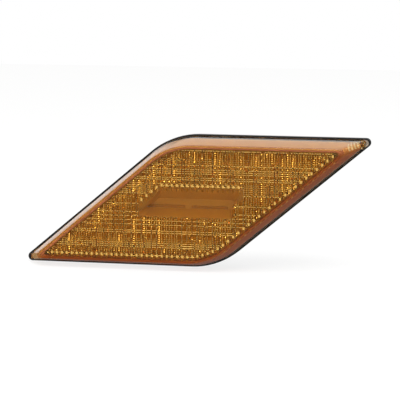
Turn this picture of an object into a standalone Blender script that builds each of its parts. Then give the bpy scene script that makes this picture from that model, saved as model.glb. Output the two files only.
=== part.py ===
# LED side turn signal lamp for a vehicle body, one piece with no joints.
# Units are metres. X runs along the lamp, Y to the rear, Z up.
# The origin is in the middle of the gasket's rear face, where the body panel starts.
import bpy
import bmesh
import math
from mathutils import Vector

for old in list(bpy.data.objects):
    bpy.data.objects.remove(old, do_unlink=True)

# Outline of the lamp, seen from the front: a slanted four-sided shape
SIDE_LENGTH = 0.1100
SLANT_SIDE = 0.1104
SLANT = math.radians(39.8)
BEND_RADIUS = 0.0400
TIP_RADIUS = 0.0024
INNER_TIP_RADIUS = 0.0010
BEND_STEPS = 9
TIP_STEPS = 9

# Clearance between touching pieces, and how far a joined or cutting shape runs past a face
SEAT_GAP = 0.0003
OVERLAP = 0.0005
OVERCUT = 0.0010

# Depths, measured along Y from the panel
GASKET_THICK = 0.0020
GASKET_INSET = 0.0008
GASKET_FIT = 0.0005
FLANGE_THICK = 0.0020
FLANGE_REAR = -(GASKET_THICK + SEAT_GAP)
FLANGE_FRONT = FLANGE_REAR - FLANGE_THICK
RIM_HEIGHT = 0.0020
RIM_FRONT = FLANGE_FRONT - RIM_HEIGHT
RIM_WIDTH = 0.00065
BODY_REAR = 0.0100
BODY_WALL = 0.0020
BODY_INSET = 0.0080
BODY_CORNER = 0.0040
BODY_END_WIDTH = 0.0070

# Lens: a clear amber cap
LENS_WALL = 0.0015
LENS_FIT = 0.00025
LENS_BASE_INSET = RIM_WIDTH + LENS_FIT
LENS_KNEE_INSET = 0.0011
LENS_FACE_INSET = 0.0042
LENS_TIP_RADIUS = 0.0022
KNEE_HEIGHT = 0.0041
FACE_HEIGHT = 0.0168
LENS_BASE_Y = FLANGE_FRONT - SEAT_GAP
LENS_KNEE_Y = RIM_FRONT - KNEE_HEIGHT
LENS_FACE_Y = RIM_FRONT - FACE_HEIGHT
LENS_FACE_WALL = 0.0024
LENS_EDGE_RADIUS = 0.0006

# Light-spreading ridges on the rear of the lens face: upright columns crossed by level rows
COLUMN_PITCH = 0.00275
COLUMN_HEIGHT = 0.0011
ROW_PITCH = 0.0033
ROW_HEIGHT = 0.0013
OPTIC_ROOT = 0.0003
OPTIC_INSET = 0.00654
WINDOW = [(-0.0272, -0.0070), (0.0232, -0.0070), (0.0240, 0.0009), (0.0293, 0.0029), (0.0293, 0.0089),
          (-0.0157, 0.0089), (-0.0272, -0.0007)]

# Reflector tray behind the lens
RIB_INSET = 0.0030
RIB_WIDTH = 0.0016
RIB_FRONT = RIM_FRONT + SEAT_GAP
TRAY_INSET = 0.0049
TRAY_WALL = 0.0012
TRAY_REAR_INSET = RIB_INSET + SEAT_GAP
OPTIC_CLEARANCE = 0.0009
TRAY_FRONT = LENS_FACE_Y + LENS_FACE_WALL + OPTIC_ROOT + COLUMN_HEIGHT + ROW_HEIGHT + OPTIC_CLEARANCE
TRAY_REAR = RIB_FRONT - SEAT_GAP
TROUGH_DEPTH = 0.0080
TROUGH_FLOOR = TRAY_FRONT + TROUGH_DEPTH
TROUGH_CORNER = 0.0016
TROUGH_MOUTH = [(-0.0310, -0.0084), (0.0218, -0.0084), (0.0278, 0.0077), (-0.0155, 0.0077)]
TROUGH_BED = [(-0.0262, -0.0036), (0.0190, -0.0036), (0.0250, 0.0016), (-0.0187, 0.0016)]
SLOT_TOP = -0.0018
SLOT_FOOT = -0.0033
SLOT_ENDS = [(-0.0250, -0.0045), (-0.0013, 0.0186)]

# Circuit board and what stands on it
LED_ROOM = 0.0045
BOARD_FRONT = TROUGH_FLOOR + TRAY_WALL + LED_ROOM
BOARD_THICK = 0.0016
BOARD_REAR = BOARD_FRONT + BOARD_THICK
BOARD_FIT = 0.0008
LED_SIZE = (0.0030, 0.0016, 0.0015)
LED_PLACES = [-0.0212, -0.0150, -0.0088, 0.0025, 0.0084, 0.0143]
TIP_SCREW_REACH = 0.0586
BEND_SCREW_OFFSET = (-0.0184, 0.0168)
SCREW_RADIUS = 0.0015
SCREW_HEAD_RADIUS = 0.0028
SCREW_HEAD = 0.0018
SCREW_DRIVE = 0.0009
SCREW_POINT = 0.0010
BOSS_RADIUS = 0.0034

# Fixing studs at the two tips
STUD_REACH = 0.0250
STUD_TO_BODY = 0.0090
STUD_BOSS_RADIUS = 0.0050
STUD_RADIUS = 0.0025
STUD_HEAD_RADIUS = 0.0035
STUD_HEAD = 0.0022
STUD_HEAD_EDGE = 0.0003
STUD_END = 0.0150
STUD_PITCH = 0.0010
STUD_THREAD_DEPTH = 0.00045
STUD_THREAD_START = 0.0010
STUD_LEDGE = 0.0011
STUD_FLOOR = FLANGE_REAR - STUD_LEDGE

# Connector inlet on the rear
INLET_CENTRE = (-0.0120, 0.0)
INLET_SIZE = (0.0250, 0.0140)
INLET_WALL = 0.0015
INLET_LENGTH = 0.0150
INLET_END = BODY_REAR + INLET_LENGTH
LATCH_SIZE = (0.0060, 0.0030, 0.0020)
LATCH_RISE = 0.0014
LATCH_SETBACK = 0.0055
BLADE_SIZE = (0.0028, 0.0008)
BLADE_PITCH = 0.0060
BLADE_SETBACK = 0.0040
BLADE_END = INLET_END - BLADE_SETBACK
VENT_PLACE = (0.0300, 0.0080)
VENT_RADIUS = 0.0050
VENT_HOLE_RADIUS = 0.0015
VENT_THICK = 0.0017

run = SLANT_SIDE * math.cos(SLANT)
height = SLANT_SIDE * math.sin(SLANT)
half_length = (SIDE_LENGTH + run) / 2.0
lamp_corners = [
    (-half_length, -height / 2.0),
    (SIDE_LENGTH - half_length, -height / 2.0),
    (half_length, height / 2.0),
    (half_length - SIDE_LENGTH, height / 2.0),
]

scene_collection = bpy.context.scene.collection
cutter_collection = bpy.data.collections.new("cutters")
scene_collection.children.link(cutter_collection)


def inset_polygon(points, inset):
    """The polygon with each side moved inward; its points run counterclockwise seen from the front."""
    lines = []
    for k in range(len(points)):
        a = Vector(points[k])
        b = Vector(points[(k + 1) % len(points)])
        along = (b - a).normalized()
        inward = Vector((-along.y, along.x))
        lines.append((a + inward * inset, along))
    moved = []
    for k in range(len(points)):
        p, u = lines[k - 1]
        q, v = lines[k]
        cross = u.x * v.y - u.y * v.x
        t = ((q - p).x * v.y - (q - p).y * v.x) / cross
        moved.append(tuple(p + u * t))
    return moved


def rounded_polygon(points, radii, steps):
    """The polygon with each corner turned into an arc of its own radius and number of steps."""
    out = []
    count = len(points)
    for k in range(count):
        p = Vector(points[k])
        to_last = (Vector(points[k - 1]) - p).normalized()
        to_next = (Vector(points[(k + 1) % count]) - p).normalized()
        corner = to_last.angle(to_next)
        centre = p + (to_last + to_next).normalized() * (radii[k] / math.sin(corner / 2.0))
        first = p + to_last * (radii[k] / math.tan(corner / 2.0)) - centre
        turn = math.pi - corner
        for s in range(steps[k] + 1):
            angle = turn * s / steps[k]
            x = first.x * math.cos(angle) - first.y * math.sin(angle)
            y = first.x * math.sin(angle) + first.y * math.cos(angle)
            out.append((centre.x + x, centre.y + y))
    return out


def lamp_ring(inset, y, tip=None):
    """The lamp's outline moved inward by the inset, at depth y."""
    if tip is None:
        tip = TIP_RADIUS - min(inset, TIP_RADIUS - INNER_TIP_RADIUS)
    bend = BEND_RADIUS - inset
    flat = rounded_polygon(
        inset_polygon(lamp_corners, inset),
        [tip, bend, tip, bend],
        [TIP_STEPS, BEND_STEPS, TIP_STEPS, BEND_STEPS],
    )
    return [(x, y, z) for x, z in flat]


def tip_direction():
    """The unit vector from the lower left tip along the lamp's long diagonal, halving the tip's angle."""
    return Vector((math.cos(SLANT / 2.0), math.sin(SLANT / 2.0)))


def body_corners():
    """The lamp's outline moved inward for the body, with both tips cut off square to their bisector."""
    wide = inset_polygon(lamp_corners, BODY_INSET)
    bisector = tip_direction()
    past_stud = STUD_REACH + STUD_TO_BODY
    wide_enough = (BODY_INSET + BODY_END_WIDTH / 2.0) / math.sin(SLANT / 2.0)
    lower = Vector(lamp_corners[0]) + bisector * max(past_stud, wide_enough)
    level = (lower - Vector(wide[0])).dot(bisector)
    along = level / math.cos(SLANT / 2.0)
    slanted = Vector((math.cos(SLANT), math.sin(SLANT)))
    flat = Vector((1.0, 0.0))
    a = Vector(wide[0])
    b = Vector(wide[2])
    points = [a + flat * along, Vector(wide[1]), b - slanted * along, b - flat * along, Vector(wide[3]),
              a + slanted * along]
    return [tuple(p) for p in points]


def body_ring(inset, y):
    """The body's outline moved inward by the inset, at depth y."""
    bend = BEND_RADIUS - BODY_INSET - inset
    small = BODY_CORNER - min(inset, BODY_CORNER - INNER_TIP_RADIUS)
    flat = rounded_polygon(
        inset_polygon(body_corners(), inset),
        [small, bend, small, small, bend, small],
        [4, 7, 4, 4, 7, 4],
    )
    return [(x, y, z) for x, z in flat]


def flat_ring(points, y):
    """The points of a flat polygon at depth y."""
    return [(x, y, z) for x, z in points]


def finish(name, mesh, cutter=False):
    """Turn a bmesh into an object of that name with its faces turned outward."""
    bmesh.ops.recalc_face_normals(mesh, faces=mesh.faces[:])
    data = bpy.data.meshes.new(name)
    mesh.to_mesh(data)
    mesh.free()
    made = bpy.data.objects.new(name, data)
    if cutter:
        cutter_collection.objects.link(made)
        made.hide_render = True
        made.display_type = "WIRE"
    else:
        scene_collection.objects.link(made)
    return made


def loft(name, rings, closed=False, cutter=False):
    """A solid through rings of equal point counts, capped at both ends or closed on itself."""
    mesh = bmesh.new()
    rows = [[mesh.verts.new(p) for p in ring] for ring in rings]
    count = len(rows[0])
    last = len(rows) if closed else len(rows) - 1
    for r in range(last):
        here = rows[r]
        there = rows[(r + 1) % len(rows)]
        for k in range(count):
            n = (k + 1) % count
            mesh.faces.new((here[k], here[n], there[n], there[k]))
    if not closed:
        mesh.faces.new(rows[0])
        mesh.faces.new(rows[-1])
    return finish(name, mesh, cutter)


def box(name, centre, size, cutter=False, bevel=0.0):
    """A box of the size, with its edges broken when a bevel is given."""
    mesh = bmesh.new()
    bmesh.ops.create_cube(mesh, size=1.0)
    for v in mesh.verts:
        v.co = Vector((v.co.x * size[0], v.co.y * size[1], v.co.z * size[2]))
    made = finish(name, mesh, cutter)
    made.location = centre
    if bevel > 0.0:
        edge = made.modifiers.new("edge", "BEVEL")
        edge.width = bevel
        edge.segments = 1
        edge.limit_method = "ANGLE"
    return made


def turned(name, profile, centre, steps, cutter=False):
    """A solid turned about the Y axis; the profile lists radius and y from one end to the other."""
    mesh = bmesh.new()
    rows = []
    for radius, y in profile:
        row = []
        for k in range(steps):
            angle = 2.0 * math.pi * k / steps
            row.append(mesh.verts.new((radius * math.cos(angle), y, radius * math.sin(angle))))
        rows.append(row)
    for r in range(len(rows) - 1):
        for k in range(steps):
            n = (k + 1) % steps
            mesh.faces.new((rows[r][k], rows[r][n], rows[r + 1][n], rows[r + 1][k]))
    mesh.faces.new(rows[0])
    mesh.faces.new(rows[-1])
    made = finish(name, mesh, cutter)
    made.location = (centre[0], 0.0, centre[1])
    return made


def join(target, tool, how):
    """Add an exact Boolean of the tool to the target."""
    step = target.modifiers.new(how.lower() + " " + tool.name, "BOOLEAN")
    step.operation = how
    step.solver = "EXACT"
    step.object = tool


def paint(target, colour, roughness, metallic=0.0, transmission=0.0):
    """Give the object a material of its own."""
    material = bpy.data.materials.new(target.name + " material")
    material.use_nodes = True
    shader = material.node_tree.nodes["Principled BSDF"]
    shader.inputs["Base Color"].default_value = (colour[0], colour[1], colour[2], 1.0)
    shader.inputs["Roughness"].default_value = roughness
    shader.inputs["Metallic"].default_value = metallic
    shader.inputs["Transmission Weight"].default_value = transmission
    target.data.materials.append(material)


# Lens shell: from the base up the outer wall, over the face and back down inside
slope = (LENS_FACE_INSET - LENS_KNEE_INSET) / (LENS_KNEE_Y - LENS_FACE_Y)
lean = math.atan(slope)
edge_run = LENS_EDGE_RADIUS * math.tan((math.pi / 2.0 - lean) / 2.0)
inner_shift = LENS_WALL / math.cos(lean)
lens_inner_y = LENS_FACE_Y + LENS_FACE_WALL
outer_profile = [(LENS_BASE_INSET, LENS_BASE_Y), (LENS_KNEE_INSET, LENS_KNEE_Y)]
edge_centre = (LENS_FACE_INSET + edge_run, LENS_FACE_Y + LENS_EDGE_RADIUS)
for s in range(5):
    angle = lean + (math.pi / 2.0 - lean) * s / 4.0
    outer_profile.append((
        edge_centre[0] - LENS_EDGE_RADIUS * math.cos(angle),
        edge_centre[1] - LENS_EDGE_RADIUS * math.sin(angle),
    ))
inner_profile = [
    (LENS_KNEE_INSET + inner_shift + (LENS_KNEE_Y - lens_inner_y) * slope, lens_inner_y),
    (LENS_KNEE_INSET + inner_shift, LENS_KNEE_Y),
    (LENS_BASE_INSET + LENS_WALL, LENS_BASE_Y),
]
lens = loft("lens", [lamp_ring(i, y, LENS_TIP_RADIUS) for i, y in outer_profile])
hollow_profile = inner_profile + [(LENS_BASE_INSET + LENS_WALL, LENS_BASE_Y + OVERCUT)]
hollow_rings = [lamp_ring(i, y, INNER_TIP_RADIUS) for i, y in hollow_profile]
lens_hollow = loft("lens hollow", hollow_rings, cutter=True)
join(lens, lens_hollow, "DIFFERENCE")


def optic_block():
    """A block whose rear carries upright and level ridges, with the heights of the two added."""
    base = LENS_FACE_Y + LENS_FACE_WALL / 2.0
    valley = lens_inner_y + OPTIC_ROOT
    half_column = COLUMN_PITCH / 2.0
    half_row = ROW_PITCH / 2.0
    rows = math.ceil((height / 2.0 - OPTIC_INSET) / half_row)
    side_run = (OPTIC_INSET - half_column) / math.sin(SLANT)
    mesh = bmesh.new()
    points = {}
    for j in range(-rows, rows + 1):
        z = j * half_row
        start = lamp_corners[0][0] + (z + height / 2.0) / math.tan(SLANT) + side_run
        stop = start + SIDE_LENGTH - 2.0 * side_run
        for i in range(math.floor(start / half_column), math.ceil(stop / half_column) + 1):
            rise = (COLUMN_HEIGHT if i % 2 == 0 else 0.0) + (ROW_HEIGHT if j % 2 == 0 else 0.0)
            points[(i, j)] = mesh.verts.new((i * half_column, valley + rise, z))
    faces = []
    for i, j in points:
        ring = [(i, j), (i + 1, j), (i + 1, j + 1), (i, j + 1)]
        if all(key in points for key in ring):
            faces.append(mesh.faces.new([points[key] for key in ring]))
    loose = [v for v in mesh.verts if not v.link_faces]
    bmesh.ops.delete(mesh, geom=loose, context="VERTS")
    grown = bmesh.ops.extrude_face_region(mesh, geom=faces)
    for item in grown["geom"]:
        if isinstance(item, bmesh.types.BMVert):
            item.co.y = base
    return finish("optic block", mesh, cutter=True)


ridges = optic_block()
field = loft(
    "optic field",
    [
        lamp_ring(OPTIC_INSET, LENS_FACE_Y - OVERCUT, INNER_TIP_RADIUS),
        lamp_ring(OPTIC_INSET, TRAY_FRONT, INNER_TIP_RADIUS),
    ],
    cutter=True,
)
clear_window = loft(
    "clear window",
    [flat_ring(WINDOW, LENS_FACE_Y - 2.0 * OVERCUT), flat_ring(WINDOW, TRAY_FRONT + OVERCUT)],
    cutter=True,
)
join(ridges, field, "INTERSECT")
join(ridges, clear_window, "DIFFERENCE")
join(lens, ridges, "UNION")
paint(lens, (0.95, 0.42, 0.06), 0.05, 0.0, 0.9)

# Housing: flange with a rim around the lens, a seat rib for the tray and the body behind the panel
housing = loft("housing", [lamp_ring(0.0, FLANGE_REAR), lamp_ring(0.0, RIM_FRONT)])
channel = loft(
    "channel",
    [lamp_ring(RIM_WIDTH, FLANGE_FRONT), lamp_ring(RIM_WIDTH, RIM_FRONT - OVERCUT)],
    cutter=True,
)
join(housing, channel, "DIFFERENCE")
rib_inner = RIB_INSET + RIB_WIDTH
rib = loft(
    "seat rib",
    [
        lamp_ring(RIB_INSET, FLANGE_FRONT + OVERLAP),
        lamp_ring(RIB_INSET, RIB_FRONT),
        lamp_ring(rib_inner, RIB_FRONT),
        lamp_ring(rib_inner, FLANGE_FRONT + OVERLAP),
    ],
    closed=True,
    cutter=True,
)
join(housing, rib, "UNION")
body = loft("body", [body_ring(0.0, FLANGE_FRONT + OVERLAP), body_ring(0.0, BODY_REAR)], cutter=True)
join(housing, body, "UNION")

lower_tip = Vector(lamp_corners[0]) + tip_direction() * STUD_REACH
upper_tip = Vector(lamp_corners[2]) - tip_direction() * STUD_REACH
stud_places = [tuple(lower_tip), tuple(upper_tip)]
tip_screw = Vector(lamp_corners[0]) + tip_direction() * TIP_SCREW_REACH
bend_screw = Vector(lamp_corners[1]) + Vector(BEND_SCREW_OFFSET)
screw_places = [tuple(tip_screw), tuple(bend_screw), tuple(-bend_screw), tuple(-tip_screw)]
for number, place in enumerate(stud_places, 1):
    stud_boss = turned(
        "stud boss %d" % number,
        [(STUD_BOSS_RADIUS, FLANGE_FRONT + OVERLAP), (STUD_BOSS_RADIUS, RIB_FRONT)],
        place, 24, cutter=True,
    )
    join(housing, stud_boss, "UNION")

inlet = box(
    "inlet shroud",
    (INLET_CENTRE[0], (BODY_REAR - OVERLAP + INLET_END) / 2.0, INLET_CENTRE[1]),
    (INLET_SIZE[0], INLET_LENGTH + OVERLAP, INLET_SIZE[1]),
    cutter=True, bevel=INLET_WALL / 2.0,
)
join(housing, inlet, "UNION")
latch = box(
    "latch ramp",
    (INLET_CENTRE[0], INLET_END - LATCH_SETBACK,
     INLET_CENTRE[1] + INLET_SIZE[1] / 2.0 + LATCH_RISE - LATCH_SIZE[2] / 2.0),
    LATCH_SIZE,
    cutter=True,
)
join(housing, latch, "UNION")

cavity = loft(
    "cavity",
    [body_ring(BODY_WALL, RIM_FRONT - OVERCUT), body_ring(BODY_WALL, BODY_REAR - BODY_WALL)],
    cutter=True,
)
join(housing, cavity, "DIFFERENCE")
for number, place in enumerate(screw_places, 1):
    boss = turned(
        "board boss %d" % number,
        [(BOSS_RADIUS, BOARD_REAR + SEAT_GAP), (BOSS_RADIUS, BODY_REAR - BODY_WALL + OVERLAP)],
        place, 20, cutter=True,
    )
    join(housing, boss, "UNION")
    bore = turned(
        "boss bore %d" % number,
        [(SCREW_RADIUS + SEAT_GAP, BOARD_REAR), (SCREW_RADIUS + SEAT_GAP, BODY_REAR - BODY_WALL - OVERLAP)],
        place, 16, cutter=True,
    )
    join(housing, bore, "DIFFERENCE")
for number, place in enumerate(stud_places, 1):
    pocket = turned(
        "stud pocket %d" % number,
        [(STUD_HEAD_RADIUS + SEAT_GAP, RIM_FRONT - OVERCUT), (STUD_HEAD_RADIUS + SEAT_GAP, STUD_FLOOR)],
        place, 24, cutter=True,
    )
    join(housing, pocket, "DIFFERENCE")
    hole = turned(
        "stud hole %d" % number,
        [(STUD_RADIUS + SEAT_GAP, STUD_FLOOR - OVERCUT), (STUD_RADIUS + SEAT_GAP, FLANGE_REAR + OVERCUT)],
        place, 20, cutter=True,
    )
    join(housing, hole, "DIFFERENCE")
socket = box(
    "inlet socket",
    (INLET_CENTRE[0], (BODY_REAR + OVERLAP + INLET_END + OVERCUT) / 2.0, INLET_CENTRE[1]),
    (INLET_SIZE[0] - 2.0 * INLET_WALL, INLET_LENGTH - OVERLAP + OVERCUT, INLET_SIZE[1] - 2.0 * INLET_WALL),
    cutter=True,
)
join(housing, socket, "DIFFERENCE")
blade_places = [INLET_CENTRE[0] + k * BLADE_PITCH for k in (-1, 0, 1)]
for number, x in enumerate(blade_places, 1):
    gate = box(
        "blade gate %d" % number,
        (x, BODY_REAR - BODY_WALL / 2.0, INLET_CENTRE[1]),
        (BLADE_SIZE[0] + 2.0 * SEAT_GAP, BODY_WALL + 2.0 * OVERCUT, BLADE_SIZE[1] + 2.0 * SEAT_GAP),
        cutter=True,
    )
    join(housing, gate, "DIFFERENCE")
vent_hole = turned(
    "vent hole",
    [(VENT_HOLE_RADIUS, BODY_REAR - BODY_WALL - OVERCUT), (VENT_HOLE_RADIUS, BODY_REAR + OVERCUT)],
    VENT_PLACE, 16, cutter=True,
)
join(housing, vent_hole, "DIFFERENCE")
paint(housing, (0.018, 0.017, 0.017), 0.35)

# Foam gasket between the flange and the panel
gasket = loft("gasket", [lamp_ring(GASKET_INSET, -GASKET_THICK), lamp_ring(GASKET_INSET, 0.0)])
gasket_hole = loft(
    "gasket hole",
    [body_ring(-GASKET_FIT, -GASKET_THICK - OVERCUT), body_ring(-GASKET_FIT, OVERCUT)],
    cutter=True,
)
join(gasket, gasket_hole, "DIFFERENCE")
for number, place in enumerate(stud_places, 1):
    pierce = turned(
        "gasket stud hole %d" % number,
        [(STUD_RADIUS + SEAT_GAP, -GASKET_THICK - OVERCUT), (STUD_RADIUS + SEAT_GAP, OVERCUT)],
        place, 20, cutter=True,
    )
    join(gasket, pierce, "DIFFERENCE")
paint(gasket, (0.030, 0.030, 0.031), 0.9)

# Reflector tray: a plate with a drafted skirt on the seat rib and a trough with two light slots
tray = loft("reflector_tray", [lamp_ring(TRAY_INSET, TRAY_FRONT), lamp_ring(TRAY_REAR_INSET, TRAY_REAR)])
tray_hollow = loft(
    "tray hollow",
    [
        lamp_ring(TRAY_INSET + TRAY_WALL, TRAY_FRONT + TRAY_WALL),
        lamp_ring(TRAY_REAR_INSET + TRAY_WALL, TRAY_REAR + OVERCUT),
    ],
    cutter=True,
)
join(tray, tray_hollow, "DIFFERENCE")


def trough_ring(points, grow, y):
    """A trough outline with round corners, grown outward, at depth y."""
    flat = rounded_polygon(inset_polygon(points, -grow), [TROUGH_CORNER + grow] * 4, [4, 4, 4, 4])
    return flat_ring(flat, y)


trough_shell = loft(
    "trough shell",
    [
        trough_ring(TROUGH_MOUTH, TRAY_WALL, TRAY_FRONT + TRAY_WALL / 2.0),
        trough_ring(TROUGH_BED, TRAY_WALL, TROUGH_FLOOR + TRAY_WALL),
    ],
    cutter=True,
)
join(tray, trough_shell, "UNION")
share = OVERCUT / TROUGH_DEPTH
rise = [((a[0] - b[0]) * share, (a[1] - b[1]) * share) for a, b in zip(TROUGH_MOUTH, TROUGH_BED)]
above_mouth = [(a[0] + d[0], a[1] + d[1]) for a, d in zip(TROUGH_MOUTH, rise)]
trough = loft(
    "trough",
    [trough_ring(above_mouth, 0.0, TRAY_FRONT - OVERCUT), trough_ring(TROUGH_BED, 0.0, TROUGH_FLOOR)],
    cutter=True,
)
join(tray, trough, "DIFFERENCE")
for number, ends in enumerate(SLOT_ENDS, 1):
    slot = box(
        "light slot %d" % number,
        ((ends[0] + ends[1]) / 2.0, TROUGH_FLOOR, (SLOT_TOP + SLOT_FOOT) / 2.0),
        (ends[1] - ends[0], TROUGH_DEPTH, SLOT_TOP - SLOT_FOOT),
        cutter=True,
    )
    join(tray, slot, "DIFFERENCE")
paint(tray, (0.55, 0.26, 0.03), 0.4)

# Circuit board, held by four screws in the body's bosses
board_inset = BODY_WALL + BOARD_FIT
board = loft("circuit_board", [body_ring(board_inset, BOARD_FRONT), body_ring(board_inset, BOARD_REAR)])
for number, place in enumerate(screw_places, 1):
    drill = turned(
        "board drill %d" % number,
        [(SCREW_RADIUS + SEAT_GAP, BOARD_FRONT - OVERCUT), (SCREW_RADIUS + SEAT_GAP, BOARD_REAR + OVERCUT)],
        place, 16, cutter=True,
    )
    join(board, drill, "DIFFERENCE")
paint(board, (0.74, 0.74, 0.70), 0.4)

for number, place in enumerate(screw_places, 1):
    seat = BOARD_FRONT - SEAT_GAP
    screw = turned(
        "board_screw_%d" % number,
        [
            (SCREW_HEAD_RADIUS * 0.62, seat - SCREW_HEAD),
            (SCREW_HEAD_RADIUS * 0.90, seat - SCREW_HEAD * 0.75),
            (SCREW_HEAD_RADIUS, seat - SCREW_HEAD * 0.30),
            (SCREW_HEAD_RADIUS, seat),
            (SCREW_RADIUS, seat),
            (SCREW_RADIUS, BODY_REAR - BODY_WALL - 2.0 * SCREW_POINT),
            (SCREW_RADIUS * 0.6, BODY_REAR - BODY_WALL - SCREW_POINT),
        ],
        place, 12,
    )
    drive = turned(
        "screw drive %d" % number,
        [(SCREW_DRIVE, seat - SCREW_HEAD - OVERCUT), (SCREW_DRIVE, seat - SCREW_HEAD / 2.0)],
        place, 6, cutter=True,
    )
    join(screw, drive, "DIFFERENCE")
    paint(screw, (0.56, 0.56, 0.55), 0.3, 1.0)

for number, x in enumerate(LED_PLACES, 1):
    led = box(
        "led_%d" % number,
        (x, BOARD_FRONT - SEAT_GAP - LED_SIZE[1] / 2.0, SLOT_TOP + SEAT_GAP + LED_SIZE[2] / 2.0),
        LED_SIZE, bevel=LED_SIZE[2] / 10.0,
    )
    paint(led, (0.85, 0.62, 0.20), 0.4)

# Parts on the rear of the board: name, x, z, size along x, y and z, colour
CAN_PLACE = (0.0230, 0.0)
CAN_RADIUS = 0.00315
CAN_LENGTH = 0.0056
BOARD_PARTS = [
    ("driver_chip", 0.0130, 0.0000, (0.0050, 0.0015, 0.0040), (0.02, 0.02, 0.022)),
    ("resistor_1", 0.0050, 0.0060, (0.0032, 0.0006, 0.0016), (0.03, 0.03, 0.035)),
    ("resistor_2", 0.0050, 0.0025, (0.0032, 0.0006, 0.0016), (0.03, 0.03, 0.035)),
    ("resistor_3", 0.0050, -0.0010, (0.0032, 0.0006, 0.0016), (0.03, 0.03, 0.035)),
    ("resistor_4", 0.0050, -0.0045, (0.0032, 0.0006, 0.0016), (0.03, 0.03, 0.035)),
    ("input_diode", -0.0260, 0.0000, (0.0045, 0.0022, 0.0026), (0.02, 0.02, 0.02)),
]
for name, x, z, size, colour in BOARD_PARTS:
    chip = box(name, (x, BOARD_REAR + SEAT_GAP + size[1] / 2.0, z), size)
    paint(chip, colour, 0.4)

can_foot = BOARD_REAR + SEAT_GAP
capacitor = turned(
    "capacitor",
    [
        (CAN_RADIUS * 0.95, can_foot),
        (CAN_RADIUS, can_foot + CAN_LENGTH * 0.05),
        (CAN_RADIUS, can_foot + CAN_LENGTH * 0.16),
        (CAN_RADIUS * 0.94, can_foot + CAN_LENGTH * 0.21),
        (CAN_RADIUS, can_foot + CAN_LENGTH * 0.27),
        (CAN_RADIUS, can_foot + CAN_LENGTH * 0.93),
        (CAN_RADIUS * 0.92, can_foot + CAN_LENGTH),
    ],
    CAN_PLACE, 20,
)
paint(capacitor, (0.62, 0.62, 0.63), 0.35, 1.0)

# Terminal blades from the board through the rear wall into the inlet
for number, x in enumerate(blade_places, 1):
    start = BOARD_REAR + SEAT_GAP
    blade = box(
        "terminal_%d" % number,
        (x, (start + BLADE_END) / 2.0, INLET_CENTRE[1]),
        (BLADE_SIZE[0], BLADE_END - start, BLADE_SIZE[1]),
        bevel=BLADE_SIZE[1] / 4.0,
    )
    paint(blade, (0.80, 0.78, 0.72), 0.3, 1.0)

# Vent cap with its stem in the rear wall
vent = turned(
    "vent_cap",
    [
        (VENT_HOLE_RADIUS - SEAT_GAP, BODY_REAR - BODY_WALL),
        (VENT_HOLE_RADIUS - SEAT_GAP, BODY_REAR + SEAT_GAP),
        (VENT_RADIUS, BODY_REAR + SEAT_GAP),
        (VENT_RADIUS, BODY_REAR + SEAT_GAP + VENT_THICK * 0.65),
        (VENT_RADIUS * 0.9, BODY_REAR + SEAT_GAP + VENT_THICK),
    ],
    VENT_PLACE, 24,
)
paint(vent, (0.35, 0.35, 0.36), 0.5)

# Fixing studs: a round head in the flange's pocket and a threaded shank to the rear
for number, place in enumerate(stud_places, 1):
    head_seat = STUD_FLOOR - SEAT_GAP
    profile = [
        (STUD_HEAD_RADIUS - STUD_HEAD_EDGE, head_seat - STUD_HEAD),
        (STUD_HEAD_RADIUS, head_seat - STUD_HEAD + STUD_HEAD_EDGE),
        (STUD_HEAD_RADIUS, head_seat),
        (STUD_RADIUS, head_seat),
    ]
    y = STUD_THREAD_START
    while y + 2.0 * STUD_PITCH < STUD_END:
        profile.append((STUD_RADIUS, y))
        profile.append((STUD_RADIUS - STUD_THREAD_DEPTH, y + STUD_PITCH * 0.5))
        y += STUD_PITCH
    profile.append((STUD_RADIUS, y))
    profile.append((STUD_RADIUS - STUD_THREAD_DEPTH, STUD_END))
    stud = turned("stud_%d" % number, profile, place, 12)
    paint(stud, (0.60, 0.60, 0.58), 0.3, 1.0)
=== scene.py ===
# The looks of the LED side turn signal lamp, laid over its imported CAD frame, in metres.
# X runs along the lamp, Y to the rear, Z up, with the origin at the panel behind the gasket.
# The sections follow the lamp as it is put together, from the housing to the vent cap.
import math
import bpy
import bmesh
import numpy as np
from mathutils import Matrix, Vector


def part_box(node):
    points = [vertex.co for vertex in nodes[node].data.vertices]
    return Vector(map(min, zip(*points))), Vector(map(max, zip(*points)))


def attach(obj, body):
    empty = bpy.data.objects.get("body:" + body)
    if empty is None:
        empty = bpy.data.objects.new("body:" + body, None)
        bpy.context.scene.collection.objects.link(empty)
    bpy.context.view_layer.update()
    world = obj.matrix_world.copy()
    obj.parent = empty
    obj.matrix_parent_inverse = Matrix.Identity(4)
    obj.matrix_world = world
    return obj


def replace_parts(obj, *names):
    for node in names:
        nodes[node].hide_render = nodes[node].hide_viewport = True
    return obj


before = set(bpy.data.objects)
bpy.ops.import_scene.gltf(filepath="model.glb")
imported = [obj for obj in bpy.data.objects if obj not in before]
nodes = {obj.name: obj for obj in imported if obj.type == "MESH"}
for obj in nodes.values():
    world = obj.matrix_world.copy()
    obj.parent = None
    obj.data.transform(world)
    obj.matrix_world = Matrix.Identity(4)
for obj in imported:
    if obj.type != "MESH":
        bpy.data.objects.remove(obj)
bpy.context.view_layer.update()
scene = bpy.context.scene


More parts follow.
